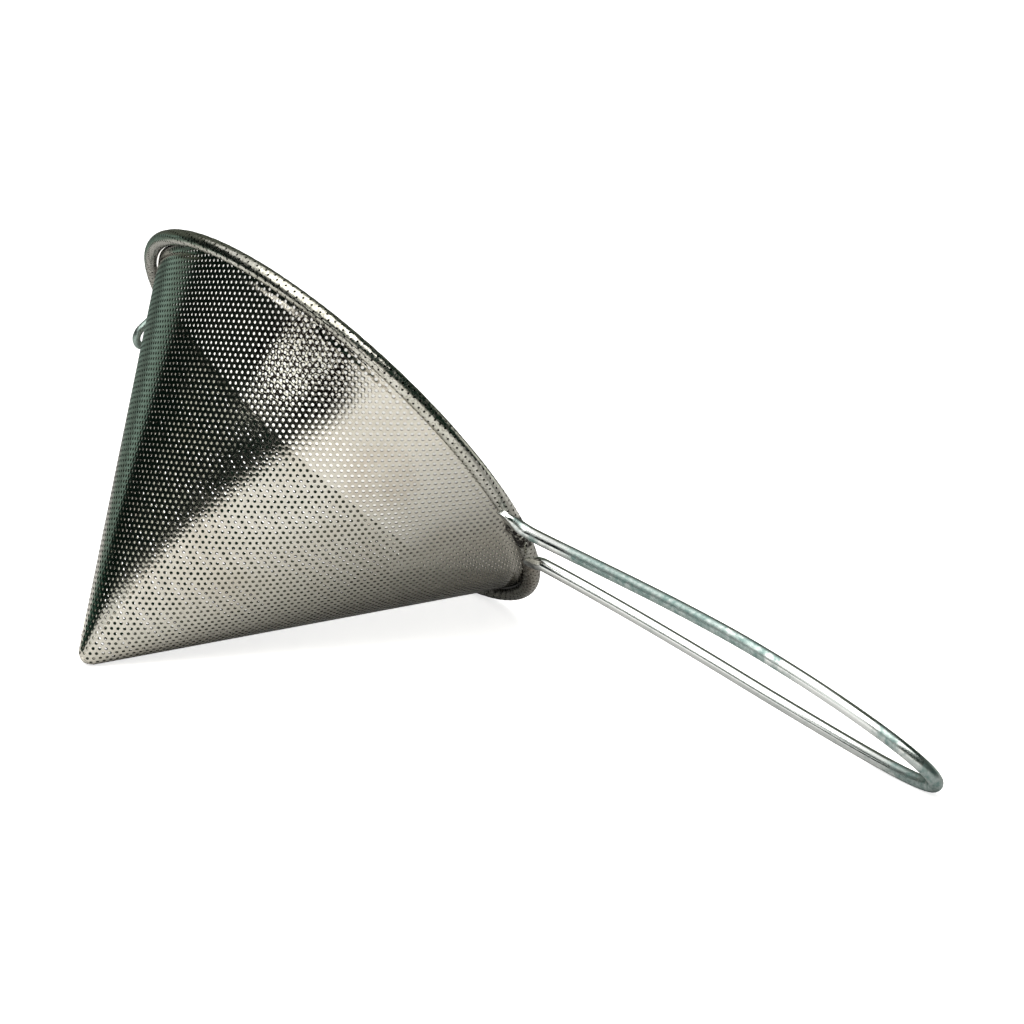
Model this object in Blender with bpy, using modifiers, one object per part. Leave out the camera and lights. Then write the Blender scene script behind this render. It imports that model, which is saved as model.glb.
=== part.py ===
"""A conical hand strainer of pierced steel sheet, lying on a table the way it comes to rest.

The strainer is built in its own frame: the ring wire's axis is Z, its centre line lies in the plane
z = 0, the tip points to -Z and the handle leaves along +X. The cone is turned about Z and then leans,
because the hand-rolled sheet's tip lies a little off the ring's axis. An empty then lays all of it on
the table, on its nose, its rim and the end of its handle, with +X along the handle seen from above.
"""

import math

import bmesh
import bpy
from mathutils import Matrix, Vector
from mathutils.geometry import interpolate_bezier

# Driving dimensions, in metres unless the name says degrees or steps
RIM_DIAMETER = 0.160
CONE_DEPTH = 0.1125
TIP_LEAN_ALONG = -0.0035
TIP_LEAN_ACROSS = -0.0070
SHEET_THICKNESS = 0.0006
RIM_WIRE_DIAMETER = 0.0034
NOSE_RADIUS = 0.0040
LAP_WIDTH = 0.0050

# A plain grid of openings stands for the sheet's fine holes and opens about the same share of it
OPENING_ROWS = 11
OPENING_RIM_MARGIN = 0.0060
OPENING_NOSE_MARGIN = 0.0084
OPENING_LEAST_WIDTH = 0.0028
OPENING_SHARE_ALONG = 2 / 3
OPENINGS_SHARE_AROUND = 1 / 3

HANDLE_WIRE_DIAMETER = 0.0040
HANDLE_REACH = 0.1574
HANDLE_LOOP_WIDTH = 0.0327
HANDLE_NECK_WIDTH = 0.0223
HANDLE_NECK_REACH = 0.0085
HANDLE_WIDEST_REACH = 0.0928
HANDLE_FOOT_SPREAD = 0.0270
HANDLE_FLARE_DEGREES = 20.0
HANDLE_FOOT_PULL = 0.0040
HANDLE_SHOULDER_PULL = 0.0184
HANDLE_TAPER_PULL = 0.0285
HANDLE_TIP_PULL = 0.0108
HANDLE_ARCH = 0.0019
HANDLE_END_RISE = 0.0031
HANDLE_FOOT_STEP = 0.0006
HANDLE_FOOT_THICKNESS = 0.0016
HANDLE_FOOT_WIDTH = 0.0060
HANDLE_FOOT_LENGTH = 0.0060

HOOK_WIRE_DIAMETER = 0.0026
HOOK_REACH = 0.0041
HOOK_WIDTH = 0.0104
HOOK_DROOP_DEGREES = 80.0
HOOK_BEND_RADIUS = 0.0040
HOOK_FOOT_THICKNESS = 0.0014
HOOK_FOOT_WIDTH = 0.0038
HOOK_FOOT_LENGTH = 0.0045

# Where the end of a foot sits on the bead's section, from its lowest point towards the outside
HANDLE_SEAT_DEGREES = 33.0
HOOK_SEAT_DEGREES = -30.0
HOOK_FLAT_RUN = 0.0028

# A pressed foot keeps its flat over this share of its length, then swells to the round wire over the next
PRESSED_SHARE = 0.6
SWELL_SHARE = 0.8
FOOT_ROUNDING = 0.85

# Clearance between pieces that touch
SEAT_GAP = 0.0003

# How finely the round shapes are divided
TURN_STEPS = 72
CURL_STEPS = 15
NOSE_STEPS = 5
MOST_OPENING_STEPS = 4
WIRE_SIDES = 14
RING_SIDES = 12
LAP_STEPS_ALONG = 6
LAP_STEPS_ACROSS = 4
BEND_STEPS = 14
LEG_STEPS = 12
SETTLING_ROUNDS = 40
SHARP_DEGREES = 50

# Sizes that follow from the ones above
RIM_RADIUS = RIM_DIAMETER / 2
RIM_WIRE_RADIUS = RIM_WIRE_DIAMETER / 2
CURL_INNER_RADIUS = RIM_WIRE_RADIUS + SEAT_GAP
CURL_MIDDLE_RADIUS = CURL_INNER_RADIUS + SHEET_THICKNESS / 2
BEAD_RADIUS = CURL_INNER_RADIUS + SHEET_THICKNESS
RING_RADIUS = RIM_RADIUS - BEAD_RADIUS
HALF_ANGLE = math.acos(CURL_INNER_RADIUS / math.hypot(RING_RADIUS, CONE_DEPTH)) - math.atan2(
    CONE_DEPTH, RING_RADIUS
)
WALL_LENGTH = RING_RADIUS * math.sin(HALF_ANGLE) + CONE_DEPTH * math.cos(HALF_ANGLE)
NOSE_CENTRE_Z = -CONE_DEPTH + NOSE_RADIUS / math.sin(HALF_ANGLE)
NOSE_START = NOSE_RADIUS / math.tan(HALF_ANGLE)
OPENING_HIGHEST = WALL_LENGTH - OPENING_RIM_MARGIN
OPENING_LOWEST = NOSE_START + OPENING_NOSE_MARGIN
OPENING_ROW_PITCH = (OPENING_HIGHEST - OPENING_LOWEST) / (OPENING_ROWS - 1 + OPENING_SHARE_ALONG)
HANDLE_WIRE_RADIUS = HANDLE_WIRE_DIAMETER / 2
HOOK_WIRE_RADIUS = HOOK_WIRE_DIAMETER / 2
LEAN = Matrix(
    (
        (1, 0, -TIP_LEAN_ALONG / CONE_DEPTH, 0),
        (0, 1, -TIP_LEAN_ACROSS / CONE_DEPTH, 0),
        (0, 0, 1, 0),
        (0, 0, 0, 1),
    )
)
SEAM_AZIMUTH = math.pi

# The lap's strip stands one sheet proud of the wall and reaches half a sheet into it
HALF = 0.5
LAP_THICKNESS = SHEET_THICKNESS * 1.5
LAP_SINK = SHEET_THICKNESS / 4
MERGE_DISTANCE = 0.00001
ROUGH_DOWN = Vector((0.3, 0.75, -0.6))

STEEL = (0.62, 0.61, 0.57, 1.0)
WIRE_STEEL = (0.58, 0.60, 0.58, 1.0)
SHEET_ROUGHNESS = 0.32
WIRE_ROUGHNESS = 0.28
HOOK_ROUGHNESS = 0.34
RING_ROUGHNESS = 0.40


def clear_scene():
    """Takes every object out of the scene."""
    for obj in list(bpy.data.objects):
        bpy.data.objects.remove(obj, do_unlink=True)


def new_collection(name):
    """A collection linked to the scene."""
    collection = bpy.data.collections.new(name)
    bpy.context.scene.collection.children.link(collection)
    return collection


def metal(name, colour, roughness):
    """A plain metal: Principled BSDF with the piece's colour and roughness."""
    material = bpy.data.materials.new(name)
    material.use_nodes = True
    shader = material.node_tree.nodes["Principled BSDF"]
    shader.inputs["Base Color"].default_value = colour
    shader.inputs["Metallic"].default_value = 1.0
    shader.inputs["Roughness"].default_value = roughness
    material.diffuse_color = colour
    return material


def object_from_bmesh(name, shape, collection, material=None):
    """Turns a bmesh into an object in a collection."""
    mesh = bpy.data.meshes.new(name)
    shape.to_mesh(mesh)
    shape.free()
    mesh.shade_smooth()
    mesh.set_sharp_from_angle(angle=math.radians(SHARP_DEGREES))
    obj = bpy.data.objects.new(name, mesh)
    collection.objects.link(obj)
    if material:
        mesh.materials.append(material)
    return obj


def curl_end_angle():
    """How far short of a full turn the curl stops, so that its end stays clear of the wall."""
    return math.acos((CURL_INNER_RADIUS - SEAT_GAP) / BEAD_RADIUS)


def wall_rings():
    """Distances from the apex of the wall's rings of points: each opening's two ends, then the nose."""
    rings = []
    for row in range(OPENING_ROWS):
        start = OPENING_HIGHEST - OPENING_ROW_PITCH * row
        rings += [start, start - OPENING_ROW_PITCH * OPENING_SHARE_ALONG]
    return [*rings, NOSE_START]


def opening_steps(radius):
    """Turn steps that one opening spans at a radius: as few as keep it wide enough."""
    steps = 1
    while steps < MOST_OPENING_STEPS and radius * math.tau / TURN_STEPS * steps < OPENING_LEAST_WIDTH:
        steps *= 2
    return steps


def is_opening(place):
    """Whether the face round a place on the unleaned wall is one that an opening takes away."""
    distance = (place.z + CONE_DEPTH) / math.cos(HALF_ANGLE)
    down = (OPENING_HIGHEST - distance) / OPENING_ROW_PITCH
    if not 0 < down < OPENING_ROWS or down % 1 > OPENING_SHARE_ALONG:
        return False
    steps = opening_steps(math.hypot(place.x, place.y))
    turned = math.atan2(place.y, place.x) / math.tau * TURN_STEPS
    cell = steps / OPENINGS_SHARE_AROUND
    return steps < turned % cell < 2 * steps


def cut_openings(mesh):
    """Takes the openings' faces out of the turned sheet."""
    shape = bmesh.new()
    shape.from_mesh(mesh)
    taken = [face for face in shape.faces if is_opening(face.calc_center_median())]
    bmesh.ops.delete(shape, geom=taken, context="FACES")
    shape.to_mesh(mesh)
    shape.free()


def sheet_profile():
    """Middle line of the sheet from the curl's free end over the ring wire and down to the nose."""
    points = []
    start = math.pi - HALF_ANGLE
    wrap = math.tau - curl_end_angle()
    for i in range(CURL_STEPS + 1):
        angle = start - wrap * (1 - i / CURL_STEPS)
        points.append(
            (RING_RADIUS + CURL_MIDDLE_RADIUS * math.cos(angle), CURL_MIDDLE_RADIUS * math.sin(angle))
        )
    top = points[-1]
    nose_middle = NOSE_RADIUS - SHEET_THICKNESS / 2
    bottom = (
        nose_middle * math.cos(HALF_ANGLE),
        NOSE_CENTRE_Z - nose_middle * math.sin(HALF_ANGLE),
    )
    for distance in wall_rings():
        share = (WALL_LENGTH - distance) / (WALL_LENGTH - NOSE_START)
        points.append((top[0] + (bottom[0] - top[0]) * share, top[1] + (bottom[1] - top[1]) * share))
    for i in range(1, NOSE_STEPS + 1):
        angle = -HALF_ANGLE - (math.pi / 2 - HALF_ANGLE) * i / NOSE_STEPS
        radius = 0.0 if i == NOSE_STEPS else nose_middle * math.cos(angle)
        points.append((radius, NOSE_CENTRE_Z + nose_middle * math.sin(angle)))
    return points


def turned_sheet(name, collection, material):
    """The sheet: a Screw turns its middle line, then it is opened, leaned and given its thickness."""
    shape = bmesh.new()
    corners = [shape.verts.new((radius, 0.0, z)) for radius, z in sheet_profile()]
    for one, other in zip(corners, corners[1:]):
        shape.edges.new((one, other))
    sheet = object_from_bmesh(name, shape, collection, material)
    screw = sheet.modifiers.new("turn", "SCREW")
    screw.axis = "Z"
    screw.angle = math.tau
    screw.steps = TURN_STEPS
    screw.render_steps = TURN_STEPS
    screw.use_merge_vertices = True
    screw.merge_threshold = MERGE_DISTANCE
    screw.use_smooth_shade = True
    bpy.context.view_layer.update()
    turned = sheet.evaluated_get(bpy.context.evaluated_depsgraph_get())
    profile = sheet.data
    sheet.data = bpy.data.meshes.new_from_object(turned)
    sheet.modifiers.clear()
    bpy.data.meshes.remove(profile)
    sheet.data.name = name
    cut_openings(sheet.data)
    sheet.data.transform(LEAN)
    wall = sheet.modifiers.new("thickness", "SOLIDIFY")
    wall.thickness = SHEET_THICKNESS
    wall.offset = 0.0
    wall.use_even_offset = True
    return sheet


def on_cone(distance, across, height):
    """Point over the outer wall: distance from the apex down the seam, sideways and proud of the wall."""
    flat = math.hypot(distance, across)
    azimuth = SEAM_AZIMUTH + math.atan2(across, distance) / math.sin(HALF_ANGLE)
    radius = flat * math.sin(HALF_ANGLE) + height * math.cos(HALF_ANGLE)
    z = -CONE_DEPTH + flat * math.cos(HALF_ANGLE) - height * math.sin(HALF_ANGLE)
    return LEAN @ Vector((radius * math.cos(azimuth), radius * math.sin(azimuth), z))


def seam_lap(collection):
    """The overlap of the sheet's two edges: a strip one sheet thick on the outside of the wall."""
    clear = math.sqrt(BEAD_RADIUS**2 - (CURL_INNER_RADIUS - SHEET_THICKNESS - SEAT_GAP) ** 2)
    low = NOSE_START + LAP_WIDTH
    high = WALL_LENGTH - clear
    shape = bmesh.new()
    bmesh.ops.create_grid(
        shape, x_segments=LAP_STEPS_ALONG, y_segments=LAP_STEPS_ACROSS, size=HALF
    )
    for vert in shape.verts:
        distance = low + (high - low) * (vert.co.x + HALF)
        vert.co = on_cone(distance, LAP_WIDTH * vert.co.y, LAP_SINK)
    bmesh.ops.recalc_face_normals(shape, faces=shape.faces)
    lap = object_from_bmesh("seam_lap_shape", shape, collection)
    thickness = lap.modifiers.new("thickness", "SOLIDIFY")
    thickness.thickness = LAP_THICKNESS
    thickness.offset = 0.0
    lap.hide_render = True
    lap.display_type = "WIRE"
    return lap


def sieve_cone(parts, cutters, material):
    """The pierced sheet: cone, curl round the ring wire and lapped seam, all of one piece."""
    cone = turned_sheet("sieve_cone", parts, material)
    join = cone.modifiers.new("lap", "BOOLEAN")
    join.operation = "UNION"
    join.solver = "EXACT"
    join.object = seam_lap(cutters)
    return cone


def rim_wire(collection, material):
    """The ring wire that the sheet's edge is rolled over."""
    bpy.ops.mesh.primitive_torus_add(
        major_segments=TURN_STEPS,
        minor_segments=RING_SIDES,
        major_radius=RING_RADIUS,
        minor_radius=RIM_WIRE_RADIUS,
    )
    ring = bpy.context.active_object
    ring.name = "rim_wire"
    ring.data.name = "rim_wire"
    ring.data.transform(LEAN)
    ring.data.shade_smooth()
    ring.data.materials.append(material)
    for owner in list(ring.users_collection):
        owner.objects.unlink(ring)
    collection.objects.link(ring)
    return ring


def smooth_line(knots, steps):
    """Points along a chain of Bezier stretches: each knot a place, a direction, a pull in and a pull out."""
    points = []
    for (place, along, _, leaving), (next_place, next_along, arriving, _) in zip(knots, knots[1:]):
        stretch = interpolate_bezier(
            place, place + along * leaving, next_place - next_along * arriving, next_place, steps
        )
        points.extend(stretch if not points else stretch[1:])
    return points


def pressed_wire(name, line, radius, foot, collection, material):
    """A round wire whose two ends are pressed flat: a loft of rings along a line.

    foot holds the pressed end's thickness, width and length. The flats face along Z.
    """
    thickness, width, length = foot
    travelled = [0.0]
    for one, other in zip(line, line[1:]):
        travelled.append(travelled[-1] + (other - one).length)
    whole = travelled[-1]
    rings = []
    shape = bmesh.new()
    for i, centre in enumerate(line):
        before = line[max(i - 1, 0)]
        after = line[min(i + 1, len(line) - 1)]
        tangent = (after - before).normalized()
        upward = (Vector((0, 0, 1)) - tangent * tangent.z).normalized()
        across = tangent.cross(upward)
        from_end = min(travelled[i], whole - travelled[i])
        pressed = 1 - smooth_share((from_end - length * PRESSED_SHARE) / (length * SWELL_SHARE))
        half_width = radius + (width / 2 - radius) * pressed
        half_thick = radius + (thickness / 2 - radius) * pressed
        short = max(1 - from_end / (width / 2), 0)
        half_width *= math.sqrt(1 - FOOT_ROUNDING * short**2)
        ring = []
        for side in range(WIRE_SIDES):
            angle = math.tau * (side + 0.5) / WIRE_SIDES
            lift = max(-half_thick, min(half_thick, radius * math.sin(angle)))
            ring.append(shape.verts.new(centre + across * half_width * math.cos(angle) + upward * lift))
        rings.append(ring)
    for ring, following in zip(rings, rings[1:]):
        for side in range(WIRE_SIDES):
            beside = (side + 1) % WIRE_SIDES
            shape.faces.new((ring[side], ring[beside], following[beside], following[side]))
    shape.faces.new(reversed(rings[0]))
    shape.faces.new(rings[-1])
    bmesh.ops.recalc_face_normals(shape, faces=shape.faces)
    return object_from_bmesh(name, shape, collection, material)


def smooth_share(value):
    """A share from 0 to 1 that starts and stops gently."""
    value = max(0.0, min(1.0, value))
    return value * value * (3 - 2 * value)


def foot_end(thickness, seat_degrees):
    """Radius and height of the middle of a pressed foot's end, seated on the bead."""
    away = BEAD_RADIUS + SEAT_GAP + thickness / 2
    seat = math.radians(seat_degrees)
    return RING_RADIUS + away * math.sin(seat), -away * math.cos(seat)


def handle_line():
    """Centre line of the handle's wire, from one foot round the loop to the other."""
    loop_half = HANDLE_LOOP_WIDTH / 2 - HANDLE_WIRE_RADIUS
    neck_half = HANDLE_NECK_WIDTH / 2 - HANDLE_WIRE_RADIUS
    foot_half = HANDLE_FOOT_SPREAD / 2
    foot_radius, low = foot_end(HANDLE_FOOT_THICKNESS, HANDLE_SEAT_DEGREES)
    foot_x = math.sqrt(foot_radius**2 - foot_half**2)
    end_x = RIM_RADIUS + HANDLE_REACH - HANDLE_WIRE_RADIUS
    neck_x = RIM_RADIUS + HANDLE_NECK_REACH
    wide_x = RIM_RADIUS + HANDLE_WIDEST_REACH
    outward = Vector((1, 0, 0))
    across = Vector((0, 1, 0))
    turn = math.radians(HANDLE_FLARE_DEGREES)
    flare = Vector((math.cos(turn), math.sin(turn), 0))
    knots = [
        (Vector((foot_x, -foot_half, 0)), flare, HANDLE_FOOT_PULL, HANDLE_FOOT_PULL),
        (Vector((neck_x, -neck_half, 0)), outward, HANDLE_FOOT_PULL, HANDLE_SHOULDER_PULL),
        (Vector((wide_x, -loop_half, 0)), outward, HANDLE_SHOULDER_PULL, HANDLE_TAPER_PULL),
        (Vector((end_x, 0, 0)), across, HANDLE_TIP_PULL, HANDLE_TIP_PULL),
    ]
    line = smooth_line(knots, BEND_STEPS)
    for point in line:
        along = max(0.0, (point.x - neck_x) / (end_x - neck_x))
        stepped = smooth_share((point.x - foot_x) / (neck_x - foot_x))
        point.z = low + HANDLE_FOOT_STEP * stepped
        point.z += HANDLE_ARCH * math.sin(math.pi * along) + HANDLE_END_RISE * along
    mirrored = [Vector((p.x, -p.y, p.z)) for p in reversed(line[:-1])]
    return line + mirrored


def handle_loop(collection, material):
    """The handle: one wire bent to a long loop, its pressed feet seated under the bead."""
    foot = (HANDLE_FOOT_THICKNESS, HANDLE_FOOT_WIDTH, HANDLE_FOOT_LENGTH)
    return pressed_wire("handle_loop", handle_line(), HANDLE_WIRE_RADIUS, foot, collection, material)


def droop(run):
    """Radius gained and height lost after a run along the hook's drooping leg."""
    full = math.radians(HOOK_DROOP_DEGREES)
    past = max(0.0, run - HOOK_FLAT_RUN)
    bend = min(past / HOOK_BEND_RADIUS, full)
    straight = past - bend * HOOK_BEND_RADIUS
    out = min(run, HOOK_FLAT_RUN) + HOOK_BEND_RADIUS * math.sin(bend) + straight * math.cos(bend)
    down = HOOK_BEND_RADIUS * (1 - math.cos(bend)) + straight * math.sin(bend)
    return out, down


def hook_line():
    """Centre line of the rest hook's wire: two legs out from under the bead and a round bend."""
    half = HOOK_WIDTH / 2 - HOOK_WIRE_RADIUS
    inner_radius, _ = foot_end(HOOK_FOOT_THICKNESS, HOOK_SEAT_DEGREES)
    _, low = foot_end(HOOK_FOOT_THICKNESS, 0.0)
    foot_x = math.sqrt(inner_radius**2 - half**2)
    full = math.radians(HOOK_DROOP_DEGREES)
    bend_end = foot_x + HOOK_FLAT_RUN + HOOK_BEND_RADIUS * math.sin(full)
    left_over = RIM_RADIUS + HOOK_REACH - HOOK_WIRE_RADIUS - bend_end
    leg = HOOK_FLAT_RUN + HOOK_BEND_RADIUS * full + max(left_over, 0.0) / math.cos(full) - half
    flat = [(leg * i / LEG_STEPS, -half) for i in range(LEG_STEPS)]
    flat += [
        (leg + half * math.sin(turn), -half * math.cos(turn))
        for turn in (math.pi * i / BEND_STEPS for i in range(BEND_STEPS + 1))
    ]
    flat += [(leg * i / LEG_STEPS, half) for i in reversed(range(LEG_STEPS))]
    line = []
    for run, side in flat:
        out, down = droop(run)
        line.append(Vector((-(foot_x + out), side, low - down)))
    return line


def rest_hook(collection, material):
    """The small wire hook opposite the handle, which rests on the rim of a pan."""
    foot = (HOOK_FOOT_THICKNESS, HOOK_FOOT_WIDTH, HOOK_FOOT_LENGTH)
    return pressed_wire("rest_hook", hook_line(), HOOK_WIRE_RADIUS, foot, collection, material)


def plane_on_balls(balls, side):
    """Normal of the plane that three balls rest on, on the side that a rough direction names."""
    (first, first_radius), (second, second_radius), (third, third_radius) = balls
    one = second - first
    two = third - first
    wanted = Vector((first_radius - second_radius, first_radius - third_radius))
    grid = Matrix(((one.dot(one), one.dot(two)), (one.dot(two), two.dot(two))))
    share = grid.inverted() @ wanted
    inside = one * share.x + two * share.y
    square = one.cross(two).normalized()
    if square.dot(side) < 0:
        square.negate()
    return inside + square * math.sqrt(1 - inside.length_squared)


def table_direction():
    """Which way the table lies, in the strainer's own frame, when nose, bead and loop end touch it."""
    down = ROUGH_DOWN.normalized()
    line = handle_line()
    for _ in range(SETTLING_ROUNDS):
        sideways = Vector((down.x, down.y, 0)).normalized()
        loop_end = max(line, key=down.dot)
        balls = (
            (LEAN @ Vector((0, 0, NOSE_CENTRE_Z)), NOSE_RADIUS),
            (sideways * RING_RADIUS, BEAD_RADIUS),
            (loop_end, HANDLE_WIRE_RADIUS),
        )
        down = plane_on_balls(balls, down)
    return down


def world_corners(objects):
    """Lowest and highest corner of a group of objects as they are drawn."""
    bpy.context.view_layer.update()
    graph = bpy.context.evaluated_depsgraph_get()
    low = Vector((math.inf,) * 3)
    high = Vector((-math.inf,) * 3)
    for obj in objects:
        drawn = obj.evaluated_get(graph)
        for vert in drawn.data.vertices:
            place = drawn.matrix_world @ vert.co
            low = Vector(map(min, low, place))
            high = Vector(map(max, high, place))
    return low, high


def lay_on_table(pieces, cutters):
    """Parents pieces and cutters to an empty and lays that on the table, centred over the origin."""
    rest = bpy.data.objects.new("table_rest", None)
    bpy.context.scene.collection.objects.link(rest)
    for obj in [*pieces, *cutters]:
        obj.parent = rest
    upward = -table_direction()
    outward = (Vector((1, 0, 0)) - upward * upward.x).normalized()
    turn = Matrix((outward, upward.cross(outward), upward)).to_4x4()
    rest.matrix_world = turn
    low, high = world_corners(pieces)
    middle = (low + high) / 2
    rest.matrix_world = Matrix.Translation((-middle.x, -middle.y, -low.z)) @ turn
    return rest


def main():
    clear_scene()
    parts = new_collection("funnel_strainer")
    cutters = new_collection("cutters")
    sheet_steel = metal("pierced_steel", STEEL, SHEET_ROUGHNESS)
    wire_steel = metal("wire_steel", WIRE_STEEL, WIRE_ROUGHNESS)
    hook_steel = metal("hook_steel", WIRE_STEEL, HOOK_ROUGHNESS)
    ring_steel = metal("ring_steel", STEEL, RING_ROUGHNESS)
    pieces = [
        sieve_cone(parts, cutters, sheet_steel),
        rim_wire(parts, ring_steel),
        handle_loop(parts, wire_steel),
        rest_hook(parts, hook_steel),
    ]
    rest = lay_on_table(pieces, cutters.objects)
    low, high = world_corners(pieces)
    print("half angle, degrees:", round(math.degrees(HALF_ANGLE), 3))
    print("corners, mm:", [round(v * 1000, 2) for v in low], [round(v * 1000, 2) for v in high])
    print("strainer frame in the world:", [[round(v, 6) for v in row] for row in rest.matrix_world])


if __name__ == "__main__":
    main()
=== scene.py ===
"""A conical hand strainer of pierced steel sheet with a wire loop handle, dressed and lit for its picture.

The strainer's own frame has the ring wire's axis along Z, the tip towards -Z and the handle along +X. A fixed
turn and shift lay it on the table, where it rests on its tip, its rim and the end of its handle.
"""
import logging
import math
from collections.abc import Callable
from dataclasses import dataclass
from enum import Enum
from functools import cached_property

import bmesh
import bpy
import numpy as np
from bmesh.types import BMEdge, BMesh, BMVert
from bpy.types import Material, Mesh, Node, NodeSocket, NodeTree, Object, bpy_prop_collection
from mathutils import Matrix, Vector
from mathutils.geometry import interpolate_bezier


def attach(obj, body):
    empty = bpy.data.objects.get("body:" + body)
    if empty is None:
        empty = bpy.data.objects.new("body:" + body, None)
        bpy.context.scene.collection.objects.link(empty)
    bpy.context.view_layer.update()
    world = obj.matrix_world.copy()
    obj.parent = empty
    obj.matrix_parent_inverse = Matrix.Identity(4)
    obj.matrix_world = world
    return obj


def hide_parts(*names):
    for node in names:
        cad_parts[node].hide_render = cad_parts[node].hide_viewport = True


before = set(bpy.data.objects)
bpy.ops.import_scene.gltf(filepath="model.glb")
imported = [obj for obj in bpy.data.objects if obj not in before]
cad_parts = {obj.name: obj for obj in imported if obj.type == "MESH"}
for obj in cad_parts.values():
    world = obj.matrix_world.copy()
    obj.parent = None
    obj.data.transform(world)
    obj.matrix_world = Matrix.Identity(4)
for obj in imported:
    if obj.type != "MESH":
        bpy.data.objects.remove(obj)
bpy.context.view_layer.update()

LOG = logging.getLogger("strainer")
BODY = "root"

# Layers that the sheet's meshes carry
OUTWARD = "outward"
TO_HOLE = "to_hole"
GROOVE = "groove"
CUT = "cut"

# The strainer's own frame as it lies on the table: rows of its turn, then its ring's centre in metres
LYING = Matrix(
    (
        (0.969158, -0.189738, 0.157265, -0.073433),
        (0.0, 0.638148, 0.769914, 0.018656),
        (-0.24644, -0.746168, 0.618466, 0.063421),
        (0.0, 0.0, 0.0, 1.0),
    )
)

Point = tuple[float, float, float]
Span = tuple[float, float]
Outline = tuple[Span, ...]
Tint = tuple[float, float, float]
Colour = tuple[float, float, float, float]
Value = "float | tuple | Shade"


# Shader maths


@dataclass(frozen=True)
class Shade:
    """A node's output that takes part in sums, so that shader maths reads as plain arithmetic."""

    bench: "Bench"
    socket: NodeSocket

    def _maths(self, operation: str, first: Value, second: Value) -> "Shade":
        """One Math node's result, or Vector Math's where the socket carries a vector."""
        kind = "ShaderNodeVectorMath" if self.socket.type == "VECTOR" else "ShaderNodeMath"
        return self.bench.out(self.bench.node(kind, {"operation": operation}, {0: first, 1: second}))

    def __add__(self, other: Value) -> "Shade":
        """Sum with a number, a vector or another output."""
        return self._maths("ADD", self, other)

    def __radd__(self, other: Value) -> "Shade":
        """Reflected sum."""
        return self._maths("ADD", other, self)

    def __sub__(self, other: Value) -> "Shade":
        """Difference."""
        return self._maths("SUBTRACT", self, other)

    def __rsub__(self, other: Value) -> "Shade":
        """Reflected difference, so that 1 - mask works."""
        return self._maths("SUBTRACT", other, self)

    def __mul__(self, other: Value) -> "Shade":
        """Product."""
        return self._maths("MULTIPLY", self, other)

    def __rmul__(self, other: Value) -> "Shade":
        """Reflected product."""
        return self._maths("MULTIPLY", other, self)

    def at_most(self, limit: Value) -> "Shade":
        """The smaller of the value and a limit."""
        return self._maths("MINIMUM", self, limit)

    def at_least(self, limit: Value) -> "Shade":
        """The larger of the value and a limit."""
        return self._maths("MAXIMUM", self, limit)

    def length(self) -> "Shade":
        """A vector's length."""
        node = self.bench.node("ShaderNodeVectorMath", {"operation": "LENGTH"}, {0: self})
        return self.bench.out(node, "Value")


@dataclass(frozen=True)
class Bench:
    """A node tree that nodes are made in and linked."""

    tree: NodeTree

    def node(self, kind: str, settings: dict | None = None, inputs: dict | None = None) -> Node:
        """Makes a node.

        Args:
            kind: The node's type name.
            settings: Properties, which are set first.
            inputs: Values or outputs for its sockets, by name or number.

        Returns:
            The new node.
        """
        node = self.tree.nodes.new(kind)
        for name, value in (settings or {}).items():
            setattr(node, name, value)
        self.fill(node, inputs or {})
        return node

    def fill(self, node: Node, inputs: dict) -> None:
        """Sets or links a node's sockets.

        Args:
            node: The node.
            inputs: Values or outputs for its sockets, by name or number.
        """
        for name, value in inputs.items():
            if isinstance(value, Shade):
                self.tree.links.new(value.socket, node.inputs[name])
            else:
                node.inputs[name].default_value = value

    def out(self, node: Node, name: str | int = 0) -> Shade:
        """An output of a node, ready for arithmetic."""
        return Shade(self, node.outputs[name])

    def told(self, kind: str, name: str) -> Shade:
        """What a node without inputs tells of the ray or of the place that it meets."""
        return self.out(self.node(kind), name)

    def carried(self, layer: str, name: str = "Fac") -> Shade:
        """A value or colour that the mesh carries in one of its layers."""
        return self.out(self.node("ShaderNodeAttribute", {"attribute_name": layer}), name)

    def object_place(self, scale: Point = (1.0, 1.0, 1.0)) -> Shade:
        """Object coordinates, scaled along each axis by a Mapping node."""
        inputs = {"Vector": self.told("ShaderNodeTexCoord", "Object"), "Scale": scale}
        return self.out(self.node("ShaderNodeMapping", {"vector_type": "POINT"}, inputs))

    def axes(self) -> tuple[Shade, Shade, Shade]:
        """Object coordinates, one by one."""
        parts = self.node("ShaderNodeSeparateXYZ", {}, {0: self.object_place()})
        return self.out(parts, "X"), self.out(parts, "Y"), self.out(parts, "Z")

    def spread(self, value: Shade, low: float, high: float) -> Shade:
        """Stretches a value so that low becomes nought and high one, held between them."""
        inputs = {"Value": value, "From Min": low, "From Max": high}
        return self.out(self.node("ShaderNodeMapRange", {"clamp": True}, inputs))

    def blend(self, share: Shade, first: Value, second: Value) -> Shade:
        """Mixes two colours by a share."""
        node = self.node("ShaderNodeMix", {"data_type": "RGBA"}, {0: share, 6: first, 7: second})
        return self.out(node, 2)

    def layered(self, ground: Value, *layers: tuple[Shade, Value]) -> Shade:
        """Lays colours over a ground.

        Args:
            ground: The lowest colour.
            layers: Each further colour's share and the colour, from the lowest up.

        Returns:
            The colour on top.
        """
        for share, tone in layers:
            ground = self.blend(share, ground, tone)
        return ground

    def bump(self, height: Shade, strength: float, distance: float) -> Shade:
        """A normal bent by a height."""
        inputs = {"Height": height, "Strength": strength, "Distance": distance}
        return self.out(self.node("ShaderNodeBump", {}, inputs))


def colour(red: float, green: float, blue: float) -> Colour:
    """An opaque colour."""
    return (red, green, blue, 1.0)


BLACK = colour(0.0, 0.0, 0.0)


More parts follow.
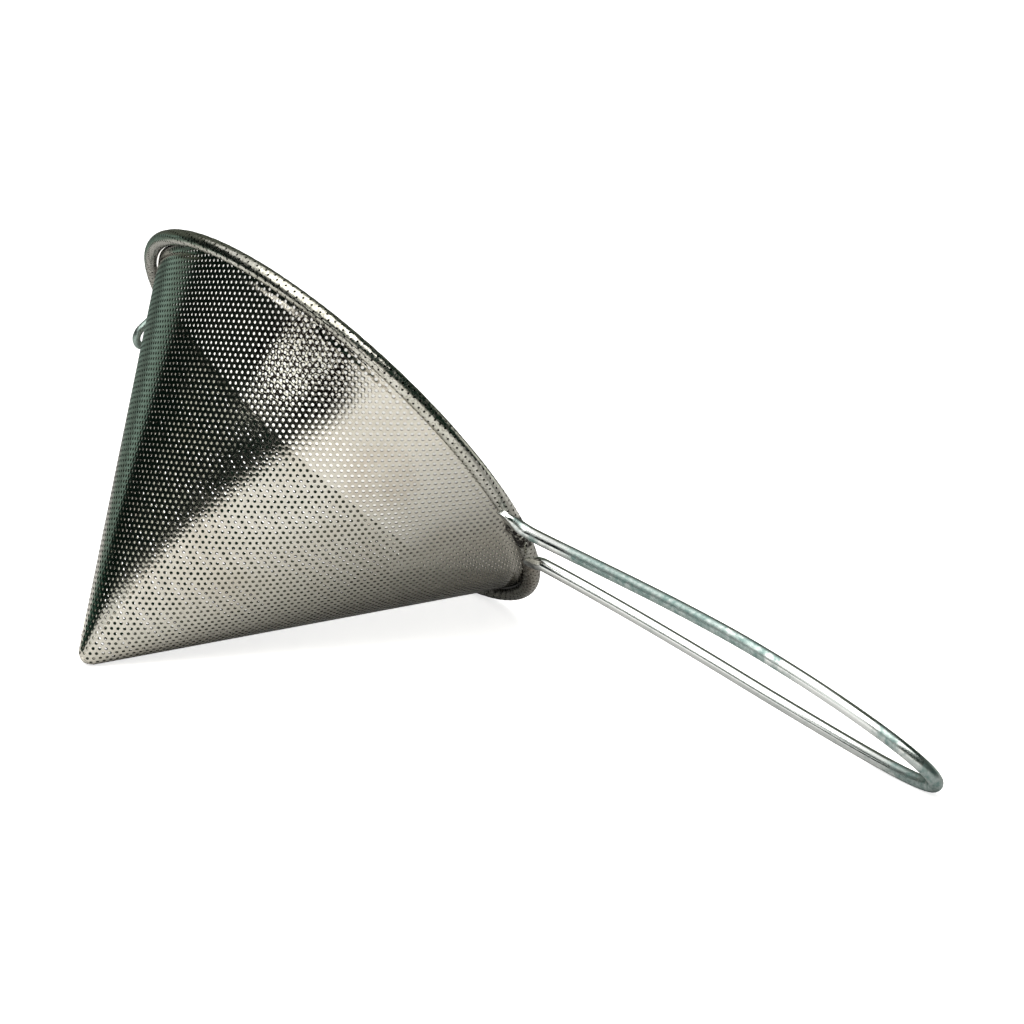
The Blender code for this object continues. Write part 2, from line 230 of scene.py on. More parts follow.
def new_material(name: str) -> tuple[Material, Bench, Node]:
    """Makes an empty node material.

    Args:
        name: The material's name.

    Returns:
        The material, its bench and its Principled shader, already linked to the output.
    """
    material = bpy.data.materials.new(name)
    material.use_nodes = True
    return material, Bench(material.node_tree), material.node_tree.nodes["Principled BSDF"]


def new_glow(name: str) -> tuple[Material, Bench, Node]:
    """Makes a material that mirrors nothing and gives back no light, so that it only glows.

    Args:
        name: The material's name.

    Returns:
        The same as new_material.
    """
    material, bench, shader = new_material(name)
    bench.fill(shader, {"Base Color": BLACK, "Specular IOR Level": 0.0, "Emission Strength": 1.0})
    return material, bench, shader


# Finishes


@dataclass(frozen=True)
class Cloud:
    """A cloudy pattern that keeps its place on what it covers.

    Its fields are clouds per metre, layers of finer cloud, how strong each finer layer is, the values that
    become nought and one where it is spread, and how many times finer it is along each axis.
    """

    scale: float
    layers: float = 2.0
    rough: float = 0.6
    ends: Span | None = None
    finer: Point = (1.0, 1.0, 1.0)

    def share(self, bench: Bench) -> Shade:
        """Draws the pattern.

        Args:
            bench: The bench of the material that it is for.

        Returns:
            Its value, from nought to one.
        """
        inputs = {"Vector": bench.object_place(self.finer), "Scale": self.scale}
        inputs |= {"Detail": self.layers, "Roughness": self.rough}
        value = bench.out(bench.node("ShaderNodeTexNoise", {"noise_dimensions": "3D"}, inputs), "Fac")
        return bench.spread(value, *self.ends) if self.ends else value


@dataclass(frozen=True)
class Spot:
    """A soft round mark round a place on the strainer."""

    place: Point
    reach: float
    soft: float = 0.35

    def share(self, bench: Bench) -> Shade:
        """One inside the mark, nought outside, with a soft edge."""
        away = (bench.object_place() - self.place).length()
        return 1.0 - bench.spread(away, self.reach * (1 - self.soft), self.reach)


@dataclass(frozen=True)
class SheetSteel:
    """Satin pierced sheet with stains, pits, a brown mark, dark cut edges, painted glint flecks, and painted
    shade in the groove and between the handle's feet.
    """

    name: str = "pierced_sheet_steel"
    bright: Colour = colour(0.60, 0.58, 0.52)
    stained: Colour = colour(0.52, 0.48, 0.41)
    brown: Colour = colour(0.44, 0.38, 0.31)
    pitted: Colour = colour(0.20, 0.19, 0.15)
    # Near black: the colour of the painted shade, of the painted glint's ground and of the cut edges.
    near_black: Colour = colour(0.018, 0.014, 0.012)
    stains: Cloud = Cloud(26.0, 4.0, ends=(0.45, 0.75))
    rub: Cloud = Cloud(160.0, 3.0)
    pits: Cloud = Cloud(1300.0, ends=(0.46, 0.62))
    specks: Cloud = Cloud(1500.0, 1.0, 0.5, ends=(0.45, 0.51))
    streaks: Cloud = Cloud(1.0, ends=(0.60, 0.50), finer=(900.0, 900.0, 60.0))
    rolling_lines: Cloud = Cloud(1.0, finer=(60.0, 700.0, 700.0))
    brown_spot: Spot = Spot((-0.0194, -0.0172, 0.0620), 0.0130)
    glint_spot: Spot = Spot((-0.0385, -0.0305, 0.0945), 0.0200, 0.3)
    feet_shade_spot: Spot = Spot((0.0036, 0.0200, 0.0430), 0.0080, 0.2)
    brown_rub: Span = (0.2, 0.6)
    brown_share: float = 0.5
    pit_share: float = 0.15
    groove_share: float = 0.9
    cut_share: float = 0.75
    roughness: float = 0.07
    stain_roughness: float = 0.07
    rub_roughness: float = 0.06
    pit_roughness: float = 0.3
    rub_height: float = 0.6
    line_height: float = 0.4
    pit_depth: float = 0.7
    bump_strength: float = 0.25
    bump_distance: float = 0.00004

    def make(self) -> Material:
        """Builds the material.

        Returns:
            The sheet's steel.
        """
        material, bench, shader = new_material(self.name)
        stains = self.stains.share(bench)
        rub = self.rub.share(bench)
        pits = self.pits.share(bench) * self.pit_share
        brown = self.brown_spot.share(bench) * bench.spread(rub, *self.brown_rub) * self.brown_share
        # Painted glint: inside this spot the steel is near black between flecks, so the bright glint card
        # mirrors there only as sparkling flecks.
        wear_and_glint = self.glint_spot.share(bench) * self.specks.share(bench)
        # Painted shade on the bead between the handle's feet, broken into streaks.
        feet_shade = self.feet_shade_spot.share(bench) * self.streaks.share(bench)
        # Painted shade in the groove under the bead, joined with the painted shade between the feet and the
        # darkened cut edges.
        dark = (bench.carried(GROOVE) * self.groove_share).at_least(feet_shade)
        dark = dark.at_least(bench.carried(CUT) * self.cut_share)
        tone = bench.layered(
            self.bright,
            (stains, self.stained),
            (brown, self.brown),
            (pits, self.pitted),
            (wear_and_glint, self.near_black),
            (dark, self.near_black),
        )
        rough = self.roughness + stains * self.stain_roughness
        rough = rough + rub * self.rub_roughness + pits * self.pit_roughness
        lines = self.rolling_lines.share(bench)
        height = rub * self.rub_height + lines * self.line_height - pits * self.pit_depth
        bent = bench.bump(height, self.bump_strength, self.bump_distance)
        bench.fill(shader, {"Base Color": tone, "Roughness": rough, "Metallic": 1.0, "Normal": bent})
        return material


@dataclass(frozen=True)
class Stretch:
    """A length of wire, by where it starts and ends along the table and how far back it may lie."""

    start: float
    end: float
    back: float
    soft: float = 0.007
    sway: float = 3.0
    back_soft: float = 0.003

    def share(self, bench: Bench, wander: Shade) -> Shade:
        """Marks the stretch.

        Args:
            bench: The bench of the material that it is for.
            wander: A cloudy value that the ends wander by.

        Returns:
            One inside the stretch and nought outside.
        """
        x, y, _ = bench.axes()
        along = x + (wander - 0.5) * (self.soft * self.sway)
        past_start = bench.spread(along, self.start, self.start + self.soft)
        past_end = bench.spread(along, self.end - self.soft, self.end)
        behind = bench.spread(y, self.back, self.back + self.back_soft)
        return past_start * (1.0 - past_end) * (1.0 - behind)


@dataclass(frozen=True)
class WireSteel:
    """Polished wire, dulled in stretches, pitted, and scratched along its length."""

    name: str = "polished_wire_steel"
    bright: Colour = colour(0.76, 0.78, 0.77)
    dull: Colour = colour(0.21, 0.30, 0.285)
    stretches: tuple[Stretch, ...] = (
        Stretch(0.010, 0.106, 0.016, 0.010),
        Stretch(0.128, 0.200, 0.040, 0.012),
    )
    clouds: Cloud = Cloud(70.0, 4.0, 0.62, (0.42, 0.72))
    pits: Cloud = Cloud(420.0, 2.0, 0.5, (0.55, 0.80))
    mottle: Cloud = Cloud(520.0, 3.0, 0.7, (0.35, 0.62))
    scratches: Cloud = Cloud(1.0, finer=(40.0, 900.0, 900.0))
    worn_share: float = 0.2
    mottle_share: float = 0.45
    roughness: float = 0.12
    worn_roughness: float = 0.10
    dull_roughness: float = 0.34
    scratch_height: float = 0.6
    pit_depth: float = 0.4
    bump_strength: float = 0.3
    bump_distance: float = 0.00005

    def make(self) -> Material:
        """Builds the material.

        Returns:
            The wire's steel.
        """
        material, bench, shader = new_material(self.name)
        clouds = self.clouds.share(bench)
        pits = self.pits.share(bench)
        wear_and_glint = (clouds + pits) * self.worn_share
        mottle = self.mottle.share(bench) * self.mottle_share + (1.0 - self.mottle_share)
        dulled = sum(stretch.share(bench, clouds) for stretch in self.stretches) * mottle
        tone = bench.blend(wear_and_glint.at_least(dulled), self.bright, self.dull)
        rough = self.roughness + wear_and_glint * self.worn_roughness + dulled * self.dull_roughness
        height = self.scratches.share(bench) * self.scratch_height - pits * self.pit_depth
        bent = bench.bump(height, self.bump_strength, self.bump_distance)
        bench.fill(shader, {"Base Color": tone, "Roughness": rough, "Metallic": 1.0, "Normal": bent})
        return material


@dataclass(frozen=True)
class PaperSweep:
    """The floor's matt white paper.

    Gloss sees a painted shadow under the strainer, a painted grey-green tone at the left, and a painted glow
    far in front.
    """

    name: str = "paper_sweep"
    white: Colour = colour(0.93, 0.93, 0.92)
    fibre: Colour = colour(0.95, 0.95, 0.94)
    fibres: Cloud = Cloud(300.0, 2.0, 0.5)
    lift: Colour = colour(0.72, 0.72, 0.72)
    under_tone: Colour = colour(0.05, 0.05, 0.045)
    under_share: float = 0.6
    under_from: Span = (-0.09, 0.06)
    under_to: Span = (0.15, 0.35)
    left_tone: Colour = colour(0.22, 0.30, 0.26)
    left_from: Span = (-0.32, -0.46)
    front_from: Span = (-0.6, -1.3)
    roughness: float = 0.9

    def make(self) -> Material:
        """Builds the material.

        Returns:
            Paper that keeps its shadows and is lifted to white for the camera.
        """
        material, bench, shader = new_material(self.name)
        x, y, _ = bench.axes()
        gloss = bench.told("ShaderNodeLightPath", "Is Glossy Ray")
        # Painted shadow under the strainer and a painted grey-green tone at the left, seen by gloss alone.
        under = bench.spread(y, *self.under_from) * (1.0 - bench.spread(y, *self.under_to))
        tint = bench.layered(
            self.white,
            (self.fibres.share(bench), self.fibre),
            (under * gloss * self.under_share, self.under_tone),
            (bench.spread(x, *self.left_from) * gloss, self.left_tone),
        )
        # Painted glow far in front, seen by gloss alone, beside the camera's lift to white.
        front = bench.spread(y, *self.front_from) * gloss
        lifted = bench.told("ShaderNodeLightPath", "Is Camera Ray").at_least(front)
        lift = bench.blend(lifted, BLACK, self.lift)
        bench.fill(shader, {"Base Color": tint, "Roughness": self.roughness, "Specular IOR Level": 0.0})
        bench.fill(shader, {"Emission Color": lift, "Emission Strength": 1.0})
        return material


@dataclass(frozen=True)
class RoomPaint:
    """The room's glow, painted on its dome."""

    name: str = "room_paint"
    layer: str = "glow"

    def make(self) -> Material:
        """Builds the material.

        Returns:
            The dome's own colours and nothing else.
        """
        material, bench, shader = new_glow(self.name)
        bench.fill(shader, {"Emission Color": bench.carried(self.layer, "Color")})
        return material


@dataclass(frozen=True)
class BackingGlow:
    """A glow behind the pierced wall, painted as the lit floor beyond the mouth and its shadow, seen from the
    wall's side alone.
    """

    name: str = "backing_glow"
    tint: Colour = colour(1.0, 0.985, 0.93)
    upward_gain: float = 9.0
    along_loss: float = 4.2
    start: float = -0.04
    faintest: float = 0.03
    brightest: float = 0.8
    drop: Span = (0.38, 0.47)
    left_gain: float = 0.5
    left_from: Span = (-0.066, -0.09)
    strength: float = 2.0

    def make(self) -> Material:
        """Builds the material.

        Returns:
            A glow with painted shade, darker downward and to the right, clear from the mouth's side.
        """
        material, bench, shader = new_glow(self.name)
        x, _, z = bench.axes()
        glow = z * self.upward_gain - x * self.along_loss + self.start
        glow = (glow * bench.spread(glow, *self.drop)).at_least(self.faintest).at_most(self.brightest)
        glow = glow * (1.0 + bench.spread(x, *self.left_from) * self.left_gain)
        tone = bench.blend(glow * (1.0 / self.strength), BLACK, self.tint)
        front = 1.0 - bench.told("ShaderNodeNewGeometry", "Backfacing")
        bench.fill(shader, {"Emission Color": tone, "Emission Strength": self.strength, "Alpha": front})
        return material


@dataclass(frozen=True)
class GlintGlow:
    """A glowing card of bright flecks, seen by gloss alone, that the steel mirrors as a painted sparkling
    patch.
    """

    name: str = "glint_glow"
    bright: Colour = colour(2.2, 2.25, 2.15)
    dark: Colour = colour(1.2, 1.22, 1.16)
    flecks: Cloud = Cloud(330.0, ends=(0.42, 0.52))

    def make(self) -> Material:
        """Builds the material.

        Returns:
            Bright flecks on a darker ground.
        """
        material, bench, shader = new_glow(self.name)
        bench.fill(shader, {"Emission Color": bench.blend(self.flecks.share(bench), self.dark, self.bright)})
        return material


@dataclass(frozen=True)
class DarkCloth:
    """The dark surroundings that polished steel mirrors."""

    name: str = "dark_cloth"
    shade: Colour = colour(0.002, 0.007, 0.005)

    def make(self) -> Material:
        """Builds the material.

        Returns:
            A faint even glow.
        """
        material, bench, shader = new_glow(self.name)
        bench.fill(shader, {"Emission Color": self.shade})
        return material


# Shapes


def finished(name: str, shape: BMesh, material: Material, sharp_degrees: float = 35.0) -> Object:
    """Makes a piece of a bmesh that holds its place in the world.

    Args:
        name: The piece's name.
        shape: The finished bmesh, which is freed.
        material: Its finish.
        sharp_degrees: Edges that turn more than this stay sharp.

    Returns:
        The new object, at the origin.
    """
    mesh = bpy.data.meshes.new(name)
    shape.to_mesh(mesh)
    shape.free()
    mesh.shade_smooth()
    mesh.set_sharp_from_angle(angle=math.radians(sharp_degrees))
    if OUTWARD in mesh.attributes:
        lay_normals(mesh, OUTWARD)
    if TO_HOLE in mesh.attributes:
        mesh.attributes.remove(mesh.attributes[TO_HOLE])
    mesh.materials.append(material)
    piece = bpy.data.objects.new(name, mesh)
    bpy.context.scene.collection.objects.link(piece)
    return piece


def read_all(items: bpy_prop_collection, name: str, kind: type, width: int = 1) -> np.ndarray:
    """Reads one property of all vertices, corners or faces of a mesh.

    Args:
        items: What is read.
        name: The property.
        kind: The type of its numbers.
        width: How many numbers it holds.

    Returns:
        One row of numbers for each item.
    """
    values = np.empty(len(items) * width, kind)
    items.foreach_get(name, values)
    return values.reshape(-1, width)


def lay_normals(mesh: Mesh, layer: str, least: float = 0.6) -> None:
    """Gives every face that lies along the sheet the sheet's true normals, and leaves its edges flat.

    The corners of the edges that were cut get the mark that darkens them.

    Args:
        mesh: The mesh, which loses the layer.
        layer: Vertex layer with the way that the sheet's outer side looks.
        least: Cosine above which a face counts as lying along the sheet.
    """
    corners = read_all(mesh.loops, "vertex_index", np.int32).ravel()
    sides = read_all(mesh.polygons, "loop_total", np.int32).ravel()
    of_sheet = read_all(mesh.attributes[layer].data, "vector", np.float32, 3)[corners]
    of_face = np.repeat(read_all(mesh.polygons, "normal", np.float32, 3), sides, axis=0)
    along = (of_face * of_sheet).sum(axis=1, keepdims=True)
    is_cut = np.abs(along) <= least
    normals = np.where(is_cut, of_face, of_sheet * np.sign(along))
    mesh.attributes.remove(mesh.attributes[layer])
    mesh.normals_split_custom_set(normals.tolist())
    cut = mesh.attributes.new(CUT, "FLOAT", "CORNER")
    cut.data.foreach_set("value", is_cut.astype(np.float32).ravel())


def settled(share: float) -> float:
    """A share from 0 to 1 that starts and stops gently."""
    held = max(0.0, min(1.0, share))
    return held * held * (3 - 2 * held)


@dataclass(frozen=True)
class ConeShape:
    """The sheet's form: a leaning cone with a blunt nose, its upper edge curled out over a ring wire.

    A place on the sheet is a run, measured along it from the cone's apex as if it were flat, and an azimuth.
    """

    rim_radius: float = 0.080
    depth: float = 0.1125
    lean_along: float = -0.0035
    lean_across: float = -0.0070
    sheet: float = 0.0006
    ring_wire_radius: float = 0.0017
    seat_gap: float = 0.0003
    nose_radius: float = 0.0040
    neck_depth: float = 0.00030
    neck_below: float = 0.0040
    neck_half: float = 0.0020
    seam_azimuth: float = math.pi

    @cached_property
    def curl_inner(self) -> float:
        """Inner radius of the curl."""
        return self.ring_wire_radius + self.seat_gap

    @cached_property
    def curl_middle(self) -> float:
        """Radius of the sheet's middle in the curl."""
        return self.curl_inner + self.sheet / 2

    @cached_property
    def bead_radius(self) -> float:
        """Outer radius of the bead's section."""
        return self.curl_inner + self.sheet

    @cached_property
    def ring_radius(self) -> float:
        """Radius of the ring wire's centre line."""
        return self.rim_radius - self.bead_radius

    @cached_property
    def half_angle(self) -> float:
        """Angle between the axis and the wall."""
        reach = math.hypot(self.ring_radius, self.depth)
        return math.acos(self.curl_inner / reach) - math.atan2(self.depth, self.ring_radius)

    @cached_property
    def wall_end(self) -> float:
        """Run at which the wall becomes the curl."""
        return self.ring_radius * math.sin(self.half_angle) + self.depth * math.cos(self.half_angle)

    @cached_property
    def sheet_end(self) -> float:
        """Run of the curl's free edge."""
        short = math.acos((self.curl_inner - self.seat_gap) / self.bead_radius)
        return self.wall_end + (math.tau - short) * self.curl_middle

    @cached_property
    def nose_start(self) -> float:
        """Run at which the nose becomes the wall."""
        return self.nose_radius / math.tan(self.half_angle)

    @cached_property
    def nose_bottom(self) -> float:
        """Run of the very bottom of the nose."""
        return self.nose_start - self.nose_radius * (math.pi / 2 - self.half_angle)

    def neck(self, run: float) -> float:
        """How far the wall is drawn in just below the bead."""
        off = abs(run - self.wall_end + self.neck_below)
        return self.neck_depth * (1 - settled(off / self.neck_half))

    def section(self, run: float, proud: float = 0.0) -> tuple[float, float]:
        """Finds a place in the section through the axis.

        Args:
            run: Distance from the apex along the flat sheet.
            proud: How far outside the sheet's middle.

        Returns:
            Radius and height.
        """
        half = self.half_angle
        if run > self.wall_end:
            angle = math.pi - half - (run - self.wall_end) / self.curl_middle
            radius = self.curl_middle - proud
            return self.ring_radius + radius * math.cos(angle), radius * math.sin(angle)
        if run < self.nose_start:
            angle = -half - (self.nose_start - run) / self.nose_radius
            radius = self.nose_radius - self.sheet / 2 + proud
            centre = -self.depth + self.nose_radius / math.sin(half)
            return radius * math.cos(angle), centre + radius * math.sin(angle)
        off = proud - self.sheet / 2 - self.neck(run)
        return (
            run * math.sin(half) + off * math.cos(half),
            -self.depth + run * math.cos(half) - off * math.sin(half),
        )

    def leaned(self, radius: float, height: float, azimuth: float) -> Vector:
        """Place in the strainer's own frame, with the cone's lean."""
        x = radius * math.cos(azimuth) - self.lean_along / self.depth * height
        return Vector((x, radius * math.sin(azimuth) - self.lean_across / self.depth * height, height))

    def azimuth(self, x: float, y: float) -> float:
        """Turn round the axis of a place on the flat sheet."""
        return math.atan2(y, x) / math.sin(self.half_angle)

    def rolled(self, x: float, y: float, proud: float, turn: float = 0.0) -> Vector:
        """Where a place on the flat sheet lies once it is rolled up, in the strainer's own frame."""
        radius, height = self.section(math.hypot(x, y), proud)
        return self.leaned(radius, height, turn + self.azimuth(x, y))

    def outward(self, run: float, azimuth: float, step: float = 0.00001) -> Vector:
        """Finds the way that the sheet's outer side looks.

        Args:
            run: Distance from the apex along the flat sheet.
            azimuth: Turn round the axis.
            step: How far apart the profile is read.

        Returns:
            The normal in the strainer's own frame.
        """
        low_radius, low = self.section(run - step)
        high_radius, high = self.section(run + step)
        out = Vector((high - low, low_radius - high_radius)).normalized()
        x, y = out.x * math.cos(azimuth), out.x * math.sin(azimuth)
        leaned = (self.lean_along * x + self.lean_across * y) / self.depth
        return Vector((x, y, out.y + leaned)).normalized()


def pulled(value: float, edges: Span, reach: float) -> float:
    """Moves a value onto an edge that is near.

    Args:
        value: The value.
        edges: Where the edges are.
        reach: How near an edge pulls.

    Returns:
        The edge, or the value where no edge is near.
    """
    for edge in edges:
        if abs(value - edge) < reach:
            return edge
    return value


@dataclass(frozen=True)
class Sector:
    """Outline of the flat sheet: a ring sector round the apex, its straight edges meeting at the seam."""

    inner: float
    outer: float
    half_spread: float
    seam_pulls_from: float = 1.0

    def outside(self, x: float, y: float) -> float:
        """How far a place lies outside the outline, negative inside."""
        run, turn = math.hypot(x, y), abs(math.atan2(y, x))
        return max(run - self.outer, self.inner - run, run * math.sin(turn - self.half_spread))

    def snapped(self, x: float, y: float, reach: float) -> tuple[float, float]:
        """Moves a place near the outline onto it.

        Args:
            x: Place along the flat sheet's axis.
            y: Place across it.
            reach: How near an edge pulls.

        Returns:
            The moved place.
        """
        run = math.hypot(x, y)
        angle = math.atan2(y, x)
        past_seam = abs(angle) - self.half_spread
        if abs(run * math.sin(past_seam)) < reach and abs(angle) > self.seam_pulls_from:
            run *= math.cos(past_seam)
            angle = math.copysign(self.half_spread, angle)
        run = pulled(run, (self.outer, self.inner), reach)
        return run * math.cos(angle), run * math.sin(angle)


@dataclass(frozen=True)
class Strip:
    """Outline of the seam's lap: a straight strip along the flat sheet's edge."""

    inner: float
    outer: float
    half_width: float

    def outside(self, x: float, y: float) -> float:
        """How far a place lies outside the outline, negative inside."""
        return max(x - self.outer, self.inner - x, abs(y) - self.half_width)

    def snapped(self, x: float, y: float, reach: float) -> tuple[float, float]:
        """Moves a place near the outline onto it, as for the sector."""
        on_side = pulled(y, (-self.half_width, self.half_width), reach)
        return pulled(x, (self.outer, self.inner), reach), on_side


@dataclass(frozen=True)
class Piercing:
    """The punched holes: rows at sixty degrees, one pitch apart."""

    pitch: float = 0.00195
    hole_radius: float = 0.00052
    row_degrees: float = 17.8
    rolled_from: float = 0.1370
    rolled_hole_radius: float = 0.00034
    spare_rows: float = 1.2
    edge_pull: float = 0.56
    least_triangle: float = 0.02
    neighbours: int = 6

    def radius_at(self, place: Vector) -> float:
        """A hole's radius: those in the rolled edge are drawn smaller."""
        rolled = math.hypot(place.x, place.y) > self.rolled_from
        return self.rolled_hole_radius if rolled else self.hole_radius

    def flat_sheet(self, outline: Sector | Strip) -> BMesh:
        """Makes a flat sheet with its holes, one vertex row along each edge of its outline.

        Args:
            outline: The sheet's outline.

        Returns:
            A bmesh in the plane z = 0.
        """
        shape = self._triangles(outline)
        self._trim(shape, outline)
        self._punch(shape)
        return shape

    def _triangles(self, outline: Sector | Strip) -> BMesh:
        """Lays triangles whose corners are the hole centres, somewhat past the outline.

        Args:
            outline: The sheet's outline.

        Returns:
            The triangles, as a flat bmesh.
        """
        shape = bmesh.new()
        rows = math.ceil(outline.outer / self.pitch * self.spare_rows)
        columns = rows * 2
        bmesh.ops.create_grid(shape, x_segments=columns * 2, y_segments=rows * 2, size=1.0)
        slope = Matrix(((1, 0.5, 0), (0, math.sqrt(3) / 2, 0), (0, 0, 1)))
        scale = Matrix.Diagonal((columns * self.pitch, rows * self.pitch, 1))
        turn = Matrix.Rotation(math.radians(self.row_degrees), 3, "Z")
        bmesh.ops.transform(shape, matrix=(turn @ slope @ scale).to_4x4(), verts=shape.verts)
        limit = self.pitch / 2
        far = [vert for vert in shape.verts if outline.outside(vert.co.x, vert.co.y) > limit]
        bmesh.ops.delete(shape, geom=far, context="VERTS")
        bmesh.ops.triangulate(shape, faces=shape.faces[:], quad_method="SHORT_EDGE")
        return shape

    def _trim(self, shape: BMesh, outline: Sector | Strip) -> None:
        """Pulls the outermost corners onto the outline and drops triangles that this flattens.

        Args:
            shape: The flat sheet.
            outline: Its outline.
        """
        for vert in [vert for vert in shape.verts if vert.is_boundary]:
            vert.co.x, vert.co.y = outline.snapped(vert.co.x, vert.co.y, self.pitch * self.edge_pull)
        least = self.pitch**2 * self.least_triangle
        flattened = [face for face in shape.faces if face.calc_area() < least]
        bmesh.ops.delete(shape, geom=flattened, context="FACES")

    def _punch(self, shape: BMesh) -> None:
        """Opens a round hole at every corner that isn't on the edge.

        Args:
            shape: The flat sheet.
        """
        centres = [vert for vert in shape.verts if not vert.is_boundary]
        before = len(shape.faces)
        cut = bmesh.ops.bevel(
            shape,
            geom=centres,
            offset=self.hole_radius,
            offset_type="OFFSET",
            segments=1,
            profile=0.5,
            affect="VERTICES",
            material=-1,
        )
        LOG.info("%d holes in %d triangles", len(cut["faces"]), before)
        holes = [face for face in cut["faces"] if len(face.verts) == self.neighbours]
        edges = list(dict.fromkeys(edge for face in holes for edge in face.edges))
        bmesh.ops.subdivide_edges(shape, edges=edges, cuts=1, use_grid_fill=False)
        holes = [face for face in holes if face.is_valid]
        to_hole = shape.verts.layers.float_vector.new(TO_HOLE)
        for face in holes:
            middle = face.calc_center_median()
            for vert in face.verts:
                away = (vert.co - middle).normalized()
                vert.co = middle + away * self.radius_at(middle)
                vert[to_hole] = -away
        bmesh.ops.delete(shape, geom=holes, context="FACES_ONLY")


class WallPart(Enum):
    """The parts that the one sheet is kept in, by the names of their pieces."""

    ROLLED_EDGE = "rolled_edge"
    HANDLE_SIDE = "wall_handle_side"
    LEFT_SIDE = "wall_left_side"
    RIGHT_SIDE = "wall_right_side"


